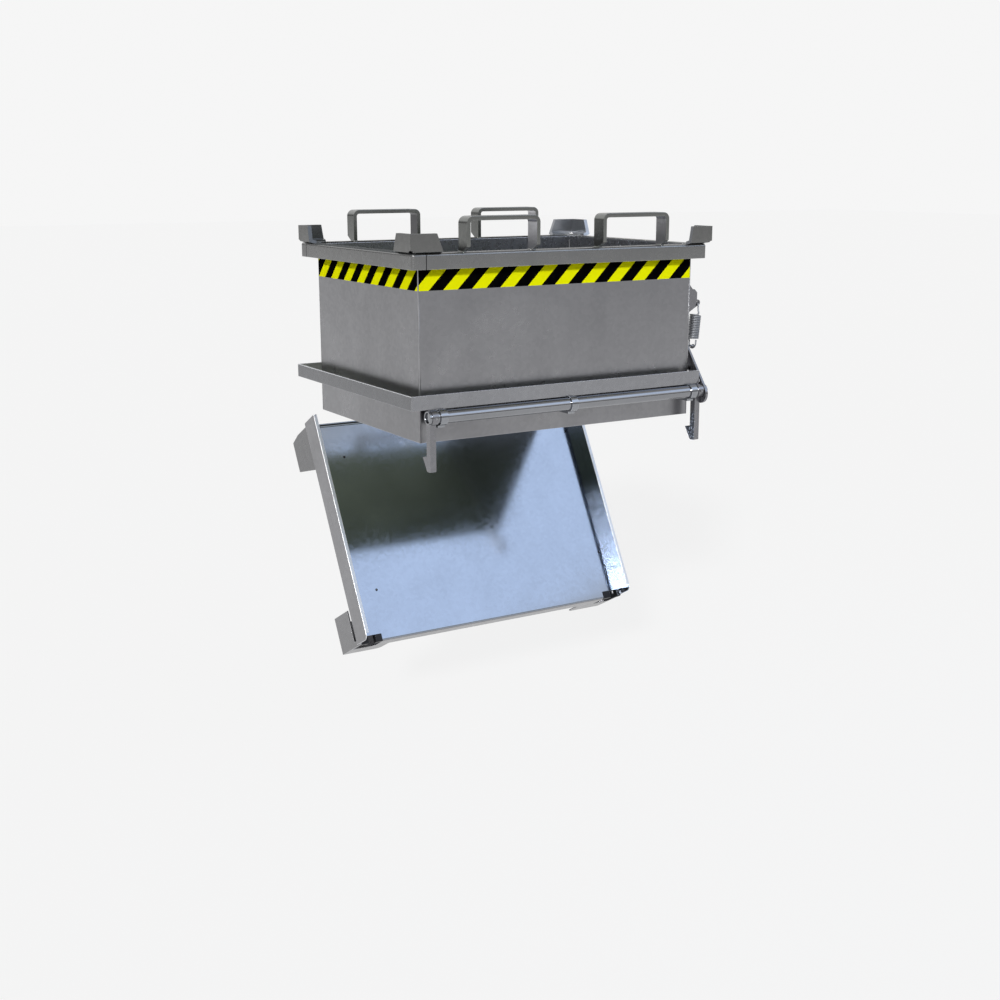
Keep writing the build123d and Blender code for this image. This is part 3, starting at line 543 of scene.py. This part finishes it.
# Hazard tape. A printed plastic strip stuck round the walls under the rim, in yellow with slanted
# black bars.
stripe_pitch = 0.117
tape_level = -0.2394
yellow = (0.88, 0.89, 0.002)
black = (0.0015, 0.0015, 0.0016)
soil_colour = (0.08, 0.075, 0.06, 1)
soil_from, soil_to, soil_most = 0.45, 0.80, 0.03
soil_scale, soil_detail = 38.0, 6.0
tape_dullness = 0.42


def hazard_print(name, right, start):
    """The print of one strip: right is the way that reads to the right there, start a yellow bar's left."""
    material = bpy.data.materials.new(name)
    material.use_nodes = True
    tree = material.node_tree
    shader = tree.nodes["Principled BSDF"]
    place = tree.nodes.new("ShaderNodeTexCoord").outputs["Object"]
    along = tree.nodes.new("ShaderNodeVectorMath")
    along.operation = "DOT_PRODUCT"
    along.inputs[1].default_value = (right[0] / stripe_pitch, right[1] / stripe_pitch, -1 / stripe_pitch)
    tree.links.new(place, along.inputs[0])
    shift = tree.nodes.new("ShaderNodeMath")
    shift.operation = "ADD"
    shift.inputs[1].default_value = (tape_level - start) / stripe_pitch
    tree.links.new(along.outputs["Value"], shift.inputs[0])
    turn = tree.nodes.new("ShaderNodeMath")
    turn.operation = "FRACT"
    tree.links.new(shift.outputs[0], turn.inputs[0])
    bars = tree.nodes.new("ShaderNodeValToRGB")
    bars.color_ramp.interpolation = "CONSTANT"
    bars.color_ramp.elements[0].color = (*yellow, 1)
    bars.color_ramp.elements[1].position = 0.5
    bars.color_ramp.elements[1].color = (*black, 1)
    tree.links.new(turn.outputs[0], bars.inputs[0])
    dirt = tree.nodes.new("ShaderNodeMapRange")
    dirt.inputs["From Min"].default_value = soil_from
    dirt.inputs["From Max"].default_value = soil_to
    dirt.inputs["To Max"].default_value = soil_most
    tree.links.new(noise(tree, place, soil_scale, soil_detail), dirt.inputs["Value"])
    soiled = tree.nodes.new("ShaderNodeMix")
    soiled.data_type = "RGBA"
    soiled.inputs[7].default_value = soil_colour
    tree.links.new(dirt.outputs[0], soiled.inputs[0])
    tree.links.new(bars.outputs[0], soiled.inputs[6])
    tree.links.new(soiled.outputs[2], shader.inputs["Base Color"])
    shader.inputs["Roughness"].default_value = tape_dullness
    shader.inputs["Specular IOR Level"].default_value = 0.0
    return material


tape_runs = {
    "front": ((1, 0), -0.0318),
    "left": ((0, -1), -0.0670),
    "rear": ((-1, 0), -0.0318),
    "right": ((0, 1), -0.0670),
}
for side, (right, start) in tape_runs.items():
    tape = frame["nodes"][f"tape_{side}"]
    tape.data.materials.clear()
    tape.data.materials.append(hazard_print(f"tape_print_{side}", right, start))

# Lower band. Four lengths of angle round the foot of the walls, welded on with the open side up, so that
# they make a trough. The cut upper edge is painted bright, a painted highlight; the trough's faces are
# painted light against the shade in it; and the left length is painted darker outside, a painted shade.
band_zinc = zinc_coat("band_zinc", (0.300, 0.304, 0.322), 0.07, 0.28)
left_band_shade_zinc = zinc_coat("left_band_shade_zinc", (0.198, 0.201, 0.211), 0.07, 0.28)
trough_light_zinc = zinc_coat("trough_light_zinc", (0.72, 0.74, 0.70), 0.10, 0.36)
edge_highlight_zinc = zinc_coat("edge_highlight_zinc", (0.80, 0.82, 0.88), 0.10, 0.50)
edge_reach = 0.0021
band_round = 0.002
trough_index, edge_index = 2, 3
band_insides = {"front": behind, "rear": ahead, "left": rightward, "right": leftward}
for side, way_in in band_insides.items():
    band = softened(
        f"band_{side}",
        left_band_shade_zinc if side == "left" else band_zinc,
        band_round,
        linings=[(trough_light_zinc, way_in), (trough_light_zinc, upward), (edge_highlight_zinc, upward)],
    )
    band_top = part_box(f"band_{side}")[1].z
    for face in band.data.polygons:
        if face.center.z > band_top - edge_reach:
            face.material_index = edge_index
        elif face.material_index == edge_index:
            face.material_index = trough_index

# Bearings. Three smooth steel blocks, bored for the shaft. Each is held up under the band by one bolt
# through the band's flat leg.
bearing_round = 0.001
turned_round = 0.0006
bearing_zinc = zinc_coat("bearing_zinc", (0.30, 0.31, 0.33), 0.08, 0.16)
for place in ("left", "middle", "right"):
    softened(f"bearing_{place}", bearing_zinc, bearing_round)
softened("bearing_bolts", bearing_zinc, turned_round)

# Release shaft. A drawn steel tube along the front, smoother than the dipped sheet. It turns in the
# bearings and carries the hooks and the lever.
shaft_zinc = zinc_coat("shaft_zinc", (0.270, 0.275, 0.290), 0.06, 0.075)
softened("release_shaft", shaft_zinc, turned_round)

# Shaft plugs. A turned steel disc with a rounded rim closes each end of the tube. It is pressed in, a
# little way past the end.
plug_depth = 0.005
plug_thick = 0.006
plug_radius = 0.0188
plug_sides = 40
plug_round = 0.002
turned_corner = 1.0
shaft_low, shaft_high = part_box("release_shaft")
shaft_middle = (shaft_low + shaft_high) / 2
plugs = bmesh.new()
for plug_x in (shaft_low.x + plug_depth + plug_thick / 2, shaft_high.x - plug_depth - plug_thick / 2):
    disc = bmesh.ops.create_cone(
        plugs, cap_ends=True, segments=plug_sides, radius1=plug_radius, radius2=plug_radius, depth=plug_thick
    )["verts"]
    bmesh.ops.rotate(plugs, verts=disc, cent=(0, 0, 0), matrix=Matrix.Rotation(math.pi / 2, 3, "Y"))
    bmesh.ops.translate(plugs, verts=disc, vec=(plug_x, shaft_middle.y, shaft_middle.z))
turned_rims = [e for e in plugs.edges if e.calc_face_angle(0.0) > turned_corner]
bmesh.ops.bevel(
    plugs, geom=turned_rims, offset=plug_round, affect="EDGES", segments=3, profile=0.5, material=-1
)
new_piece("shaft_plugs", plugs, bearing_zinc, "latch_shaft")

# Hooks. Two plates cut from thick steel bar, bored for the shaft and fixed on it with cross pins. The barb
# at the foot goes under the tray's catch block.
hook_round = 0.0015
hook_zinc = zinc_coat("hook_zinc", (0.240, 0.240, 0.255), 0.08, 0.26)
for side in ("left", "right"):
    softened(f"hook_{side}", hook_zinc, hook_round)
softened("hook_pins", shaft_zinc, turned_round)

# Release lever. A tapered plate on the right end of the shaft, with a headed pin for the spring, and a
# round lug on the wall that it rests against.
softened("release_lever", hook_zinc)
softened("spring_pin", shaft_zinc, turned_round)
softened("lever_stop", hook_zinc)

# Spring bracket. A steel plate with an eye for the spring's upper hook. It stands edge-on to the right wall
# and is welded there along both faces.
weld_short = 0.004
softened("spring_bracket", hook_zinc)
bracket_low, bracket_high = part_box("spring_bracket")
bracket_welds = bmesh.new()
for face_y in (bracket_low.y, bracket_high.y):
    bead(
        bracket_welds,
        (bracket_low.x, face_y, bracket_low.z + weld_short),
        (bracket_low.x, face_y, bracket_high.z - weld_short),
        weld_size,
    )
new_piece("bracket_welds", bracket_welds, hook_zinc, "container")

# Return spring. Close-wound wire, zinc plated, between the bracket's eye and the lever's pin.
spring_wire = zinc_coat("spring_wire", (0.30, 0.31, 0.33), 0.10, 0.55)
winding = bmesh.new()
winding.from_mesh(frame["nodes"]["return_spring"].data)
bmesh.ops.remove_doubles(winding, verts=winding.verts, dist=merge_gap)
for face in winding.faces:
    face.smooth = True
spring_mesh = bpy.data.meshes.new("wound_spring")
winding.to_mesh(spring_mesh)
winding.free()
spring_mesh.materials.append(spring_wire)
spring = bpy.data.objects.new("wound_spring", spring_mesh)
bpy.context.scene.collection.objects.link(spring)
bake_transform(spring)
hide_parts("return_spring")

# Hinges. Two clevis brackets of steel plate under the rear band, welded to the rear wall, with headed pins
# on which the floor swings.
hinge_welds = bmesh.new()
for side in ("left", "right"):
    softened(f"hinge_bracket_{side}", hook_zinc)
    softened(f"hinge_pin_{side}", shaft_zinc, turned_round)
    hinge_low, hinge_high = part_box(f"hinge_bracket_{side}")
    for face_x in (hinge_low.x, hinge_high.x):
        bead(
            hinge_welds,
            (face_x, hinge_low.y, body_low.z + weld_short),
            (face_x, hinge_low.y, hinge_high.z - weld_short),
            weld_size,
        )
new_piece("hinge_welds", hinge_welds, hook_zinc, "container")

# Floor tray. Zinc-coated sheet, folded at front and rear, with side plates that end in a hem. The sheet
# is lighter and bluer than the walls, partly its own zinc and partly a painted reflection of a cool sky,
# and the hem's top is painted light, a painted highlight. The inside mirrors the light. It is drawn swung
# open.
open_angle = math.radians(61)
pan_shortest = 0.008
# The side plates' edges are made much lighter: partly wear, partly a painted highlight along the hem.
plate_round, plate_steps, plate_wear_and_highlight = 0.0019, 3, 2.0
front_index, lip_index = 1, 3
# The blue tint is partly the zinc and partly a painted reflection of a cool sky.
tray_zinc_and_sky_tint = zinc_coat("tray_zinc_and_sky_tint", (0.285, 0.322, 0.385), 0.05, 0.135, smear=2.0)
# Painted highlight: the hem's top faces are light.
hem_highlight_zinc = zinc_coat("hem_highlight_zinc", (0.62, 0.66, 0.72), 0.06, 0.50)
# Painted shade: the front-facing faces in the upper half of the tray are near black.
lip_shade_zinc = zinc_coat("lip_shade_zinc", (0.050, 0.055, 0.050), 0.20, 0.40)
open_turn = Matrix.Rotation(open_angle, 3, "X")
tray_up, tray_ahead = open_turn @ upward, open_turn @ ahead
pan = softened(
    "floor_pan",
    tray_zinc_and_sky_tint,
    shortest=pan_shortest,
    linings=[(wall_zinc, tray_ahead), (wall_zinc, -tray_up), (lip_shade_zinc, tray_ahead)],
)
pan_low, pan_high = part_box("floor_pan")
for face in pan.data.polygons:
    if face.material_index == lip_index and face.center.z < (pan_low.z + pan_high.z) / 2:
        face.material_index = front_index
for side, way_in in (("left", rightward), ("right", leftward)):
    softened(
        f"side_{side}",
        wall_zinc,
        plate_round,
        plate_steps,
        wear_and_highlight=plate_wear_and_highlight,
        linings=[(tray_zinc_and_sky_tint, way_in), (hem_highlight_zinc, tray_up)],
    )

# Catch blocks. Steel in a near-black tone, stepped under the sheet in the front corners of the tray and
# slotted for the hooks' bars. The near-black tone partly stands for the shade in those corners, a painted
# shade.
dark_steel = zinc_coat("dark_steel", (0.030, 0.030, 0.032), 0.35, 0.45)
for side in ("left", "right"):
    softened(f"catch_{side}", dark_steel)

# Drain bushes. A short turned ring of dark steel pressed into each of the tray's four drain holes. They
# are made in the shut tray and swung open with it.
drain_places = [(-0.515, -0.255), (-0.515, 0.316), (0.580, -0.255), (0.580, 0.316)]
drain_level = -0.783
ring_bore = 0.0015
ring_outside = 0.0054
ring_half = 0.0030
ring_round = 0.0008
ring_steps = 24
hinge_line = (0.0, 0.536, -0.7985)
rings = bmesh.new()
for x, y in drain_places:
    corners = [
        rings.verts.new((ring_bore, 0, -ring_half)),
        rings.verts.new((ring_outside, 0, -ring_half)),
        rings.verts.new((ring_outside, 0, ring_half)),
        rings.verts.new((ring_bore, 0, ring_half)),
    ]
    profile = [rings.edges.new((corners[i - 1], corners[i])) for i in range(4)]
    bmesh.ops.spin(
        rings,
        geom=corners + profile,
        cent=(0, 0, 0),
        axis=(0, 0, 1),
        angle=2 * math.pi,
        steps=ring_steps,
        use_merge=True,
    )
    ring = [v for v in rings.verts if v.co.xy.length < 2 * ring_outside]
    bmesh.ops.translate(rings, verts=ring, vec=(x, y, drain_level))
bmesh.ops.remove_doubles(rings, verts=rings.verts, dist=merge_gap)
bmesh.ops.recalc_face_normals(rings, faces=rings.faces)
turned_edges = [e for e in rings.edges if e.calc_face_angle(0.0) > turned_corner]
bmesh.ops.bevel(
    rings, geom=turned_edges, offset=ring_round, affect="EDGES", segments=2, profile=0.5, material=-1
)
bmesh.ops.rotate(rings, verts=rings.verts, cent=hinge_line, matrix=open_turn)
new_piece("drain_bushes", rings, dark_steel, "floor_flap")

# Stiffening channels. Three channels folded from sheet run under the tray from front to rear. Short stitch
# welds along both edges hold them.
stitch_length = 0.045
stitch_step = 0.150
first_stitch = -0.40
stitch_count = 5
stitch_starts = [first_stitch + stitch_step * i for i in range(stitch_count)]
pan_under = -0.785
channel_welds = bmesh.new()
for place in ("left", "middle", "right"):
    softened(f"channel_{place}", wall_zinc)
    channel_low, channel_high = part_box(f"channel_{place}")
    for face_x in (channel_low.x, channel_high.x):
        for stitch in stitch_starts:
            bead(
                channel_welds,
                (face_x, stitch, pan_under),
                (face_x, stitch + stitch_length, pan_under),
                weld_size,
            )
bmesh.ops.rotate(channel_welds, verts=channel_welds.verts, cent=hinge_line, matrix=open_turn)
new_piece("channel_welds", channel_welds, wall_zinc, "floor_flap")

# Feet. Four feet of steel plate under the tray's corners, cut to nest in the stacking corners of another
# container. The rear pair is painted a little darker, a painted shade.
foot_zinc = zinc_coat("foot_zinc", (0.240, 0.240, 0.248), 0.08, 0.28)
rear_foot_shade_zinc = zinc_coat("rear_foot_shade_zinc", (0.198, 0.198, 0.204), 0.08, 0.28)
for row, coat in (("front", foot_zinc), ("rear", rear_foot_shade_zinc)):
    for column in ("left", "right"):
        softened(f"foot_{row}_{column}", coat)

# Hinge ears. Two thick steel plates welded under the tray, bored for the hinge pins. A tail on each stops
# the swing.
for side in ("left", "right"):
    softened(f"hinge_ear_{side}", foot_zinc)
